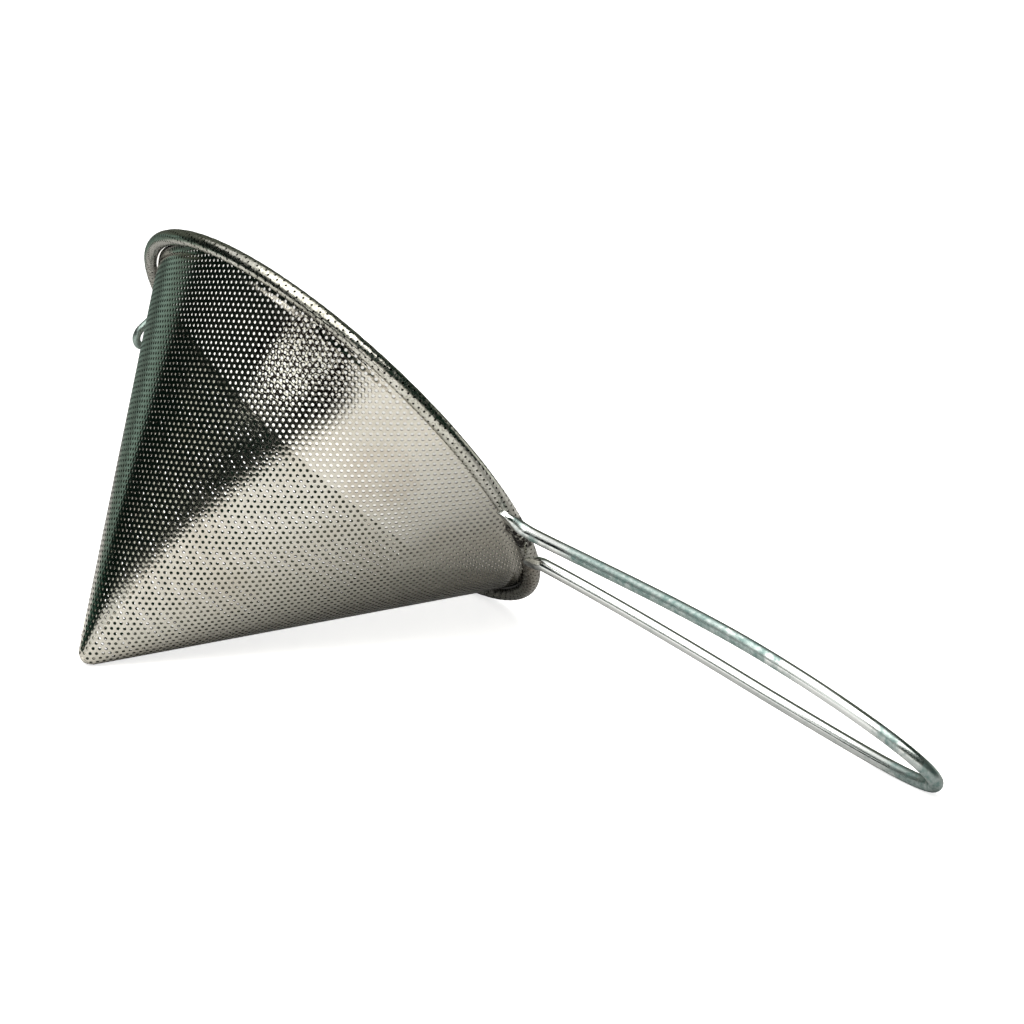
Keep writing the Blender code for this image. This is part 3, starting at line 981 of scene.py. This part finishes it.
@dataclass(frozen=True)
class Sieve:
    """The pierced cone with its rolled edge and lapped seam."""

    cone: ConeShape = ConeShape()
    piercing: Piercing = Piercing()
    shown_sheet: float = 0.0004
    rolled_past: float = 0.5
    tip_past: float = 2.0
    handle_side_half: float = math.pi / 3
    rim_step: float = 0.00005
    rim_round: float = 0.06
    groove_below: float = 0.0020
    groove_reach: float = 0.0011
    cap_run: float = 0.0034
    cap_tuck: float = 0.0005
    cap_sink: float = 0.0001
    cap_steps: int = 8
    cap_sides: int = 32
    cap_merge: float = 0.000002
    lap_width: float = 0.0050
    lap_end_gap: float = 0.0030
    weld_spacing: float = 0.0090
    weld_radius: float = 0.0015
    weld_depth: float = 0.00025

    def build(self, finish: Material, rolled_finish: Material) -> list[Object]:
        """Builds the sheet's parts, the nose cap and the lap.

        Args:
            finish: The wall's steel.
            rolled_finish: The rolled edge's steel.

        Returns:
            The pieces.
        """
        cone = self.cone
        outline = Sector(self.cap_run, cone.sheet_end, math.pi * math.sin(cone.half_angle))
        shape = self.piercing.flat_sheet(outline)
        pieces = []
        for part in WallPart:
            panel = shape.copy()
            wrong = [face for face in panel.faces if self._part_of(face.calc_center_median()) is not part]
            bmesh.ops.delete(panel, geom=wrong, context="FACES")
            self._thicken(panel)
            self._wrap(panel)
            steel = rolled_finish if part is WallPart.ROLLED_EDGE else finish
            pieces.append(self._laid_down(part.value, panel, steel))
        shape.free()
        pieces.append(self._nose_cap(finish))
        pieces.append(self._lap(finish))
        for piece in pieces:
            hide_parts("sieve_cone")
        return pieces

    def _part_of(self, place: Vector) -> WallPart:
        """Tells which part a place on the flat sheet belongs to.

        Args:
            place: The place on the flat sheet.

        Returns:
            Its part.
        """
        run = math.hypot(place.x, place.y)
        azimuth = self.cone.azimuth(place.x, place.y)
        if run > self.cone.wall_end + self.cone.curl_middle * self.rolled_past:
            return WallPart.ROLLED_EDGE
        if run < self.cone.nose_start * self.tip_past or abs(azimuth) < self.handle_side_half:
            return WallPart.HANDLE_SIDE
        return WallPart.LEFT_SIDE if azimuth > 0 else WallPart.RIGHT_SIDE

    def _thicken(self, shape: BMesh) -> None:
        """Gives the flat sheet its thickness, half to each side of its middle.

        Args:
            shape: The flat sheet.
        """
        bmesh.ops.solidify(shape, geom=shape.faces[:], thickness=self.shown_sheet)
        lowest = min(vert.co.z for vert in shape.verts)
        lift = Matrix.Translation((0, 0, -lowest - self.shown_sheet / 2))
        bmesh.ops.transform(shape, matrix=lift, verts=shape.verts)

    def _wrap(self, shape: BMesh) -> None:
        """Rolls the flat sheet round the cone and over the ring wire, in the strainer's own frame.

        Its vertices get layers for the sheet's normals, rounded a little at the holes, and for the painted
        shade in the groove.

        Args:
            shape: The flat sheet with its thickness.
        """
        cone = self.cone
        outward = shape.verts.layers.float_vector.new(OUTWARD)
        groove = shape.verts.layers.float.new(GROOVE)
        to_hole = shape.verts.layers.float_vector[TO_HOLE]
        laid = LYING.to_3x3()
        for vert in shape.verts:
            x, y, proud = vert.co
            run = math.hypot(x, y)
            place = cone.rolled(x, y, proud)
            near = vert.co + vert[to_hole] * self.rim_step
            toward = cone.rolled(near.x, near.y, proud) - place
            looks = cone.outward(run, cone.azimuth(x, y)) + toward / self.rim_step * self.rim_round
            vert[outward] = laid @ looks.normalized()
            vert[groove] = self._grooved(run)
            vert.co = place

    def _grooved(self, run: float) -> float:
        """How deep in the groove between the bead and the wall a place lies, from nought to one, for the
        painted shade there.
        """
        away = min(abs(run - self.cone.wall_end + self.groove_below), self.cone.sheet_end - run)
        return 1.0 - settled(away / self.groove_reach)

    def _laid_down(self, name: str, shape: BMesh, finish: Material) -> Object:
        """Turns a part's faces outward and lays it on the table.

        Args:
            name: The piece's name.
            shape: The part in the strainer's own frame.
            finish: Its steel.

        Returns:
            The piece.
        """
        bmesh.ops.recalc_face_normals(shape, faces=shape.faces[:])
        bmesh.ops.transform(shape, matrix=LYING, verts=shape.verts)
        return finished(name, shape, finish)

    def _nose_cap(self, finish: Material) -> Object:
        """Builds the small dome at the very bottom, tucked into the sheet round its opening.

        Args:
            finish: Its steel.

        Returns:
            The piece.
        """
        cone = self.cone
        cap = bmesh.new()
        reach = self.cap_run + self.cap_tuck - cone.nose_bottom
        places = []
        for share in (step / self.cap_steps for step in range(self.cap_steps + 1)):
            sunk = self.cap_sink * settled(share)
            places.append(cone.section(cone.nose_bottom + reach * share, cone.sheet / 2 - sunk))
        places += [(radius, height + cone.sheet - self.cap_sink) for radius, height in reversed(places)]
        verts = [cap.verts.new((radius, 0.0, height)) for radius, height in places]
        edges = [cap.edges.new(pair) for pair in zip(verts, verts[1:])]
        bmesh.ops.spin(
            cap, geom=verts + edges, axis=(0, 0, 1), angle=math.tau, steps=self.cap_sides, use_merge=True
        )
        bmesh.ops.remove_doubles(cap, verts=cap.verts[:], dist=self.cap_merge)
        for vert in cap.verts:
            lean = cone.leaned(0.0, vert.co.z, 0.0)
            vert.co.x += lean.x
            vert.co.y += lean.y
        return self._laid_down("nose_cap", cap, finish)

    def _lap(self, finish: Material) -> Object:
        """Builds the overlap of the sheet's two edges, pierced as the sheet is and spot welded.

        Args:
            finish: Its steel.

        Returns:
            The piece.
        """
        cone = self.cone
        start = cone.nose_start + self.lap_width
        outline = Strip(start, cone.wall_end - self.lap_end_gap, self.lap_width / 2)
        shape = self.piercing.flat_sheet(outline)
        self._thicken(shape)
        for vert in shape.verts:
            x, y, proud = vert.co
            along = (x / self.weld_spacing) % 1.0 - 0.5
            off_weld = math.hypot(along * self.weld_spacing, y)
            sunk = self.weld_depth * (1 - settled(off_weld / self.weld_radius))
            vert.co = cone.rolled(x, y, proud + cone.sheet - sunk, cone.seam_azimuth)
        return self._laid_down("seam_lap", shape, finish)


@dataclass(frozen=True)
class Foot:
    """A wire's end pressed flat where it is welded on, its very end rounded off over the taper.

    The shares are parts of its length: it stays flat over the first and swells back to round over the second.
    """

    thickness: float
    width: float
    length: float
    flat_share: float = 0.6
    swell_share: float = 1.5
    rounding: float = 0.97
    taper: float = 0.0060


@dataclass(frozen=True)
class Wire:
    """A round wire with pressed ends, swept along a line."""

    radius: float
    foot: Foot
    sides: int = 24
    sharp_degrees: float = 45.0

    def build(self, name: str, line: list[Vector], finish: Material) -> Object:
        """Sweeps the wire.

        Args:
            name: The piece's name.
            line: Its centre line in the strainer's own frame.
            finish: Its steel.

        Returns:
            The piece.
        """
        travelled = [0.0]
        for one, other in zip(line, line[1:]):
            travelled.append(travelled[-1] + (other - one).length)
        shape = bmesh.new()
        start = bmesh.ops.create_circle(shape, cap_ends=True, segments=self.sides, radius=self.radius)
        ring = start["verts"]
        for index, centre in enumerate(line):
            if index:
                made = bmesh.ops.extrude_edge_only(shape, edges=self._edges_of(ring))
                fresh = {item for item in made["geom"] if isinstance(item, BMVert)}
                ring = self._in_order(ring, fresh)
            before = line[max(index - 1, 0)]
            after = line[min(index + 1, len(line) - 1)]
            from_end = min(travelled[index], travelled[-1] - travelled[index])
            self._set_ring(ring, centre, (after - before).normalized(), from_end)
        bmesh.ops.contextual_create(shape, geom=ring)
        bmesh.ops.recalc_face_normals(shape, faces=shape.faces[:])
        bmesh.ops.transform(shape, matrix=LYING, verts=shape.verts)
        return finished(name, shape, finish, self.sharp_degrees)

    @staticmethod
    def _edges_of(ring: list[BMVert]) -> list[BMEdge]:
        """The edges between a ring's own vertices."""
        beside = dict.fromkeys(edge for vert in ring for edge in vert.link_edges)
        return [edge for edge in beside if all(vert in ring for vert in edge.verts)]

    @staticmethod
    def _in_order(ring: list[BMVert], fresh: set[BMVert]) -> list[BMVert]:
        """Puts a new ring's vertices in the order of the ring that they were drawn from."""
        beside = [[edge.other_vert(vert) for edge in vert.link_edges] for vert in ring]
        return [next(other for other in others if other in fresh) for others in beside]

    def _set_ring(self, ring: list[BMVert], centre: Vector, tangent: Vector, from_end: float) -> None:
        """Places one ring of the wire, pressed flat near an end.

        Args:
            ring: The ring's vertices.
            centre: Its middle.
            tangent: The way that the wire runs there.
            from_end: How far the nearer end of the wire is.
        """
        foot = self.foot
        upward = (Vector((0, 0, 1)) - tangent * tangent.z).normalized()
        across = tangent.cross(upward)
        past_flat = (from_end - foot.length * foot.flat_share) / (foot.length * foot.swell_share)
        pressed = 1 - settled(past_flat)
        half_width = self.radius + (foot.width / 2 - self.radius) * pressed
        half_thick = self.radius + (foot.thickness / 2 - self.radius) * pressed
        short = max(1 - from_end / foot.taper, 0)
        half_width *= math.sqrt(1 - foot.rounding * short**2)
        for side, vert in enumerate(ring):
            angle = math.tau * (side + 0.5) / self.sides
            lift = max(-half_thick, min(half_thick, self.radius * math.sin(angle)))
            vert.co = centre + across * half_width * math.cos(angle) + upward * lift


def seat_on_bead(cone: ConeShape, thickness: float, seat_degrees: float) -> tuple[float, float]:
    """Finds the middle of a pressed foot's end, seated on the bead.

    Args:
        cone: The sheet's form.
        thickness: The foot's thickness.
        seat_degrees: How far outward from the bead's lowest line it sits.

    Returns:
        Radius and height.
    """
    away = cone.bead_radius + cone.seat_gap + thickness / 2
    seat = math.radians(seat_degrees)
    return cone.ring_radius + away * math.sin(seat), -away * math.cos(seat)


@dataclass(frozen=True)
class HandleLoop:
    """The long wire loop, its two pressed feet welded on the bead's lower flank."""

    cone: ConeShape = ConeShape()
    wire_radius: float = 0.0020
    reach: float = 0.1574
    loop_width: float = 0.0327
    neck_width: float = 0.0223
    neck_reach: float = 0.0085
    widest_reach: float = 0.0928
    foot_spread: float = 0.0270
    flare_degrees: float = 20.0
    foot_pull: float = 0.0040
    shoulder_pull: float = 0.0184
    taper_pull: float = 0.0285
    tip_pull: float = 0.0108
    arch: float = 0.0019
    end_rise: float = 0.0031
    foot_step: float = 0.0006
    seat_degrees: float = 33.0
    foot: Foot = Foot(0.0016, 0.0046, 0.0050, 0.3)
    stretch_steps: int = 34

    def centre_line(self) -> list[Vector]:
        """Draws the wire's centre line.

        Returns:
            Its points, from one foot round the loop to the other.
        """
        loop_half = self.loop_width / 2 - self.wire_radius
        neck_half = self.neck_width / 2 - self.wire_radius
        foot_half = self.foot_spread / 2
        foot_radius, low = seat_on_bead(self.cone, self.foot.thickness, self.seat_degrees)
        foot_x = math.sqrt(foot_radius**2 - foot_half**2)
        end_x = self.cone.rim_radius + self.reach - self.wire_radius
        neck_x = self.cone.rim_radius + self.neck_reach
        wide_x = self.cone.rim_radius + self.widest_reach
        outward = Vector((1, 0, 0))
        across = Vector((0, 1, 0))
        turn = math.radians(self.flare_degrees)
        flare = Vector((math.cos(turn), math.sin(turn), 0))
        knots = [
            (Vector((foot_x, -foot_half, 0)), flare, self.foot_pull, self.foot_pull),
            (Vector((neck_x, -neck_half, 0)), outward, self.foot_pull, self.shoulder_pull),
            (Vector((wide_x, -loop_half, 0)), outward, self.shoulder_pull, self.taper_pull),
            (Vector((end_x, 0, 0)), across, self.tip_pull, self.tip_pull),
        ]
        line: list[Vector] = []
        for (place, along, _, leaving), (goal, goal_along, arriving, _) in zip(knots, knots[1:]):
            stretch = interpolate_bezier(
                place, place + along * leaving, goal - goal_along * arriving, goal, self.stretch_steps
            )
            line.extend(stretch if not line else stretch[1:])
        for point in line:
            along = max(0.0, (point.x - neck_x) / (end_x - neck_x))
            point.z = low + self.foot_step * settled((point.x - foot_x) / (neck_x - foot_x))
            point.z += self.arch * math.sin(math.pi * along) + self.end_rise * along
        return line + [Vector((p.x, -p.y, p.z)) for p in reversed(line[:-1])]

    def build(self, finish: Material) -> Object:
        """Builds the handle.

        Args:
            finish: Its steel.

        Returns:
            The piece.
        """
        piece = Wire(self.wire_radius, self.foot).build("handle_wire", self.centre_line(), finish)
        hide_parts("handle_loop")
        return piece


@dataclass(frozen=True)
class RestHook:
    """The small wire hook opposite the handle, hanging down from under the bead."""

    cone: ConeShape = ConeShape()
    wire_radius: float = 0.0013
    sides: int = 18
    reach: float = 0.0041
    width: float = 0.0104
    droop_degrees: float = 85.5
    bend_radius: float = 0.0040
    seat_degrees: float = -30.0
    flat_run: float = 0.0028
    foot: Foot = Foot(0.0014, 0.0038, 0.0045)
    leg_steps: int = 26
    bend_steps: int = 24

    def _droop(self, run: float) -> tuple[float, float]:
        """Follows the drooping leg.

        Args:
            run: How far along the leg.

        Returns:
            Radius gained and height lost.
        """
        past = max(0.0, run - self.flat_run)
        bend = min(past / self.bend_radius, math.radians(self.droop_degrees))
        straight = past - bend * self.bend_radius
        out = min(run, self.flat_run) + self.bend_radius * math.sin(bend) + straight * math.cos(bend)
        down = self.bend_radius * (1 - math.cos(bend)) + straight * math.sin(bend)
        return out, down

    def centre_line(self) -> list[Vector]:
        """Draws the wire's centre line.

        Returns:
            Its points: two legs from under the bead and a round bend between them.
        """
        half = self.width / 2 - self.wire_radius
        inner_radius, _ = seat_on_bead(self.cone, self.foot.thickness, self.seat_degrees)
        _, low = seat_on_bead(self.cone, self.foot.thickness, 0.0)
        foot_x = math.sqrt(inner_radius**2 - half**2)
        full = math.radians(self.droop_degrees)
        bend_end = foot_x + self.flat_run + self.bend_radius * math.sin(full)
        left_over = self.cone.rim_radius + self.reach - self.wire_radius - bend_end
        leg = self.flat_run + self.bend_radius * full + max(left_over, 0.0) / math.cos(full) - half
        out_along = [leg * step / self.leg_steps for step in range(self.leg_steps)]
        turns = [math.pi * step / self.bend_steps for step in range(self.bend_steps + 1)]
        flat = [(run, -half) for run in out_along]
        flat += [(leg + half * math.sin(turn), -half * math.cos(turn)) for turn in turns]
        flat += [(run, half) for run in reversed(out_along)]
        line = []
        for run, side in flat:
            out, down = self._droop(run)
            line.append(Vector((-(foot_x + out), side, low - down)))
        return line

    def build(self, finish: Material) -> Object:
        """Builds the hook.

        Args:
            finish: Its steel.

        Returns:
            The piece.
        """
        piece = Wire(self.wire_radius, self.foot, self.sides).build("hook_wire", self.centre_line(), finish)
        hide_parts("rest_hook")
        return piece


# Studio


def seen_only_by(stage: Object, ray: str) -> None:
    """Shows a stage object to one kind of ray alone.

    Args:
        stage: The object.
        ray: The kind of ray, as in the names of its visibility switches.
    """
    for kind in ("camera", "diffuse", "glossy", "transmission", "shadow"):
        setattr(stage, f"visible_{kind}", kind == ray)


@dataclass(frozen=True)
class SoftBox:
    """A soft rectangular lamp that hangs level."""

    name: str
    place: Point
    width: float
    height: float
    turn_degrees: float
    power: float
    tint: Tint

    def build(self) -> None:
        """Hangs the lamp."""
        data = bpy.data.lights.new(self.name, "AREA")
        data.shape = "RECTANGLE"
        data.size = self.width
        data.size_y = self.height
        data.energy = self.power
        data.color = self.tint
        lamp = bpy.data.objects.new(self.name, data)
        bpy.context.scene.collection.objects.link(lamp)
        lamp.location = self.place
        lamp.rotation_euler = (0.0, 0.0, math.radians(self.turn_degrees))


@dataclass(frozen=True)
class Card:
    """A flat upright card across the table, seen by gloss alone, with an outline of places and rises."""

    name: str
    y: float
    outline: Outline

    def build(self, finish: Material) -> None:
        """Cuts the card.

        Args:
            finish: What gloss sees.
        """
        shape = bmesh.new()
        corners = [shape.verts.new((x, self.y, z)) for x, z in self.outline]
        bmesh.ops.contextual_create(shape, geom=corners)
        seen_only_by(finished(self.name, shape, finish), "glossy")


@dataclass(frozen=True)
class Glow:
    """A soft-edged patch on the room's dome, by heading and rise in degrees."""

    heading: float
    rise: float
    half_width: float
    half_height: float
    soft: float
    shade: Tint

    def share(self, way: Vector) -> float:
        """Tells how much of the patch shows.

        Args:
            way: The direction that is looked in.

        Returns:
            A share from nought to one.
        """
        heading = math.degrees(math.atan2(way.y, way.x))
        rise = math.degrees(math.asin(max(-1.0, min(1.0, way.z))))
        off_heading = abs((heading - self.heading + 180.0) % 360.0 - 180.0) - self.half_width
        off_rise = abs(rise - self.rise) - self.half_height
        return 1.0 - settled(max(off_heading, off_rise) / self.soft + 0.5)


@dataclass(frozen=True)
class Room:
    """The dim room round the strainer, seen only in the steel."""

    radius: float = 3.0
    fineness: int = 6
    below_share: float = 0.1
    sharp_degrees: float = 180.0
    base: Tint = (0.010, 0.026, 0.018)
    glows: tuple[Glow, ...] = (
        Glow(140.0, 35.0, 50.0, 40.0, 16.0, (0.10, 0.115, 0.09)),
        Glow(148.0, 66.0, 47.0, 9.0, 6.0, (1.0, 1.0, 0.97)),
        Glow(-158.0, 56.0, 34.0, 15.0, 6.0, (1.0, 1.0, 0.97)),
        Glow(-160.0, 4.0, 14.0, 5.0, 10.0, (0.03, 0.075, 0.055)),
        Glow(178.0, 0.0, 14.0, 6.0, 10.0, (0.26, 0.38, 0.33)),
        Glow(-107.0, 18.0, 17.0, 22.0, 5.0, (1.0, 1.0, 0.97)),
        Glow(70.0, 10.0, 14.0, 14.0, 8.0, (0.90, 0.92, 0.85)),
        Glow(-62.0, 0.0, 34.0, 9.0, 5.0, (0.80, 0.76, 0.69)),
    )

    def build(self) -> None:
        """Builds the dome and paints it."""
        paint = RoomPaint()
        shape = bmesh.new()
        bmesh.ops.create_icosphere(shape, subdivisions=self.fineness, radius=self.radius)
        below = [vert for vert in shape.verts if vert.co.z < -self.radius * self.below_share]
        bmesh.ops.delete(shape, geom=below, context="VERTS")
        bmesh.ops.reverse_faces(shape, faces=shape.faces[:])
        layer = shape.verts.layers.float_color.new(paint.layer)
        for vert in shape.verts:
            vert[layer] = self._glow_at(vert.co.normalized())
        seen_only_by(finished("room", shape, paint.make(), self.sharp_degrees), "glossy")

    def _glow_at(self, way: Vector) -> Colour:
        """Mixes the room's glow.

        Args:
            way: The direction that is looked in.

        Returns:
            The glow's colour.
        """
        tone = Vector(self.base)
        for glow in self.glows:
            tone = tone.lerp(Vector(glow.shade), glow.share(way))
        return (*tone, 1.0)


@dataclass(frozen=True)
class Studio:
    """Floor, a painted glow behind the wall, dim room, cards, lamp, sky and camera."""

    floor_reach: float = 6.0
    backing_radius: float = 0.0765
    backing_sides: int = 64
    sky: Colour = colour(1.0, 1.0, 1.0)
    fill: float = 0.35
    lens: float = 114.29
    sensor_width: float = 36.0
    nearest: float = 0.01
    camera_place: Point = (0.62701, -0.65224, 0.31874)
    camera_turn: Point = (1.28488, -0.00774, 0.75428)
    lamp: SoftBox = SoftBox("soft_box", (0.12, -0.60, 1.0), 1.05, 1.70, -8.0, 17.0, (1.0, 0.985, 0.95))
    front_card: Card = Card(
        "front_card",
        -0.2,
        (
            (-0.9, 0.060), (-0.40, 0.052), (-0.20, 0.043), (-0.10, 0.038), (0.017, 0.042), (0.042, 0.034),
            (0.058, 0.026), (0.052, 0.040), (0.040, 0.055), (0.018, 0.081), (-0.003, 0.105), (-0.028, 0.128),
            (-0.062, 0.156), (-0.105, 0.190), (-0.19, 0.26), (-0.4, 0.5), (-0.9, 0.5),
        ),
    )
    glint_card: Card = Card(
        "glint_card",
        -0.19,
        (
            (-0.078, 0.130), (-0.064, 0.134), (-0.042, 0.120), (-0.020, 0.105), (-0.004, 0.090),
            (-0.006, 0.082), (-0.022, 0.088), (-0.045, 0.100), (-0.068, 0.111), (-0.082, 0.121),
        ),
    )

    def build(self) -> None:
        """Builds all of it."""
        self._floor()
        self._backing()
        Room().build()
        self.front_card.build(DarkCloth().make())
        self.glint_card.build(GlintGlow().make())
        self.lamp.build()
        self._sky()
        self._camera()

    def _floor(self) -> None:
        """The pale floor that the strainer lies on."""
        shape = bmesh.new()
        bmesh.ops.create_grid(shape, x_segments=1, y_segments=1, size=self.floor_reach)
        finished("floor", shape, PaperSweep().make())

    def _backing(self) -> None:
        """The painted glow across the mouth, standing for the floor and its shadow, seen only through the
        holes.
        """
        shape = bmesh.new()
        bmesh.ops.create_circle(shape, cap_ends=True, segments=self.backing_sides, radius=self.backing_radius)
        bmesh.ops.reverse_faces(shape, faces=[face for face in shape.faces if face.normal.z > 0])
        bmesh.ops.transform(shape, matrix=LYING, verts=shape.verts)
        seen_only_by(finished("backing", shape, BackingGlow().make()), "camera")

    def _sky(self) -> None:
        """Even light all round, seen white by the camera and by gloss."""
        world = bpy.data.worlds.new("sky")
        world.use_nodes = True
        bpy.context.scene.world = world
        bench = Bench(world.node_tree)
        seen = bench.told("ShaderNodeLightPath", "Is Camera Ray")
        for ray in ("Is Glossy Ray", "Is Transmission Ray"):
            seen = seen.at_least(bench.told("ShaderNodeLightPath", ray))
        strength = self.fill + seen * (1.0 - self.fill)
        bench.fill(world.node_tree.nodes["Background"], {"Color": self.sky, "Strength": strength})

    def _camera(self) -> None:
        """The camera at the picture's angle."""
        data = bpy.data.cameras.new("camera")
        data.sensor_width = self.sensor_width
        data.lens = self.lens
        data.clip_start = self.nearest
        camera = bpy.data.objects.new("camera", data)
        camera.location = self.camera_place
        camera.rotation_euler = self.camera_turn
        bpy.context.scene.collection.objects.link(camera)
        bpy.context.scene.camera = camera


def dress_ring(finish: Material) -> None:
    """Gives the ring wire inside the bead its steel, painted dark as the shade inside the curl."""
    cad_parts["rim_wire"].material_slots[0].material = finish


def main() -> None:
    """Builds the strainer piece by piece, then the studio round it."""
    logging.basicConfig(level=logging.INFO, format="%(name)s: %(message)s")
    sheet_steel = SheetSteel().make()
    rolled_steel = SheetSteel(
        name="rolled_edge_steel",
        bright=colour(0.62, 0.61, 0.56),
        stained=colour(0.33, 0.33, 0.26),
        brown=colour(0.32, 0.22, 0.18),
        brown_spot=Spot((-0.0075, 0.0385, 0.0225), 0.0180),
        roughness=0.12,
        pit_share=0.5,
    ).make()
    wire_steel = WireSteel().make()
    hook_steel = WireSteel(
        name="dulled_hook_steel",
        bright=colour(0.34, 0.42, 0.39),
        roughness=0.4,
        clouds=Cloud(90.0, 4.0, 0.62, (0.42, 0.72)),
        stretches=(),
    ).make()
    # The ring wire's steel is painted dark: painted shade inside the curl, seen through the holes.
    ring_shade_steel = WireSteel(
        name="shaded_ring_wire_steel",
        bright=colour(0.10, 0.095, 0.085),
        dull=colour(0.06, 0.055, 0.05),
        roughness=0.5,
        stretches=(),
    ).make()
    makers: list[tuple[str, Callable[[], Object | list[Object]]]] = [
        ("sieve", lambda: Sieve().build(sheet_steel, rolled_steel)),
        ("handle loop", lambda: HandleLoop().build(wire_steel)),
        ("rest hook", lambda: RestHook().build(hook_steel)),
    ]
    for name, make in makers:
        made = make()
        for piece in made if isinstance(made, list) else [made]:
            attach(piece, BODY)
            LOG.info("%s: %s, %d faces", name, piece.name, len(piece.data.polygons))
    dress_ring(ring_shade_steel)
    Studio().build()
    bpy.context.scene.view_settings.view_transform = "Standard"


if __name__ == "__main__":
    main()
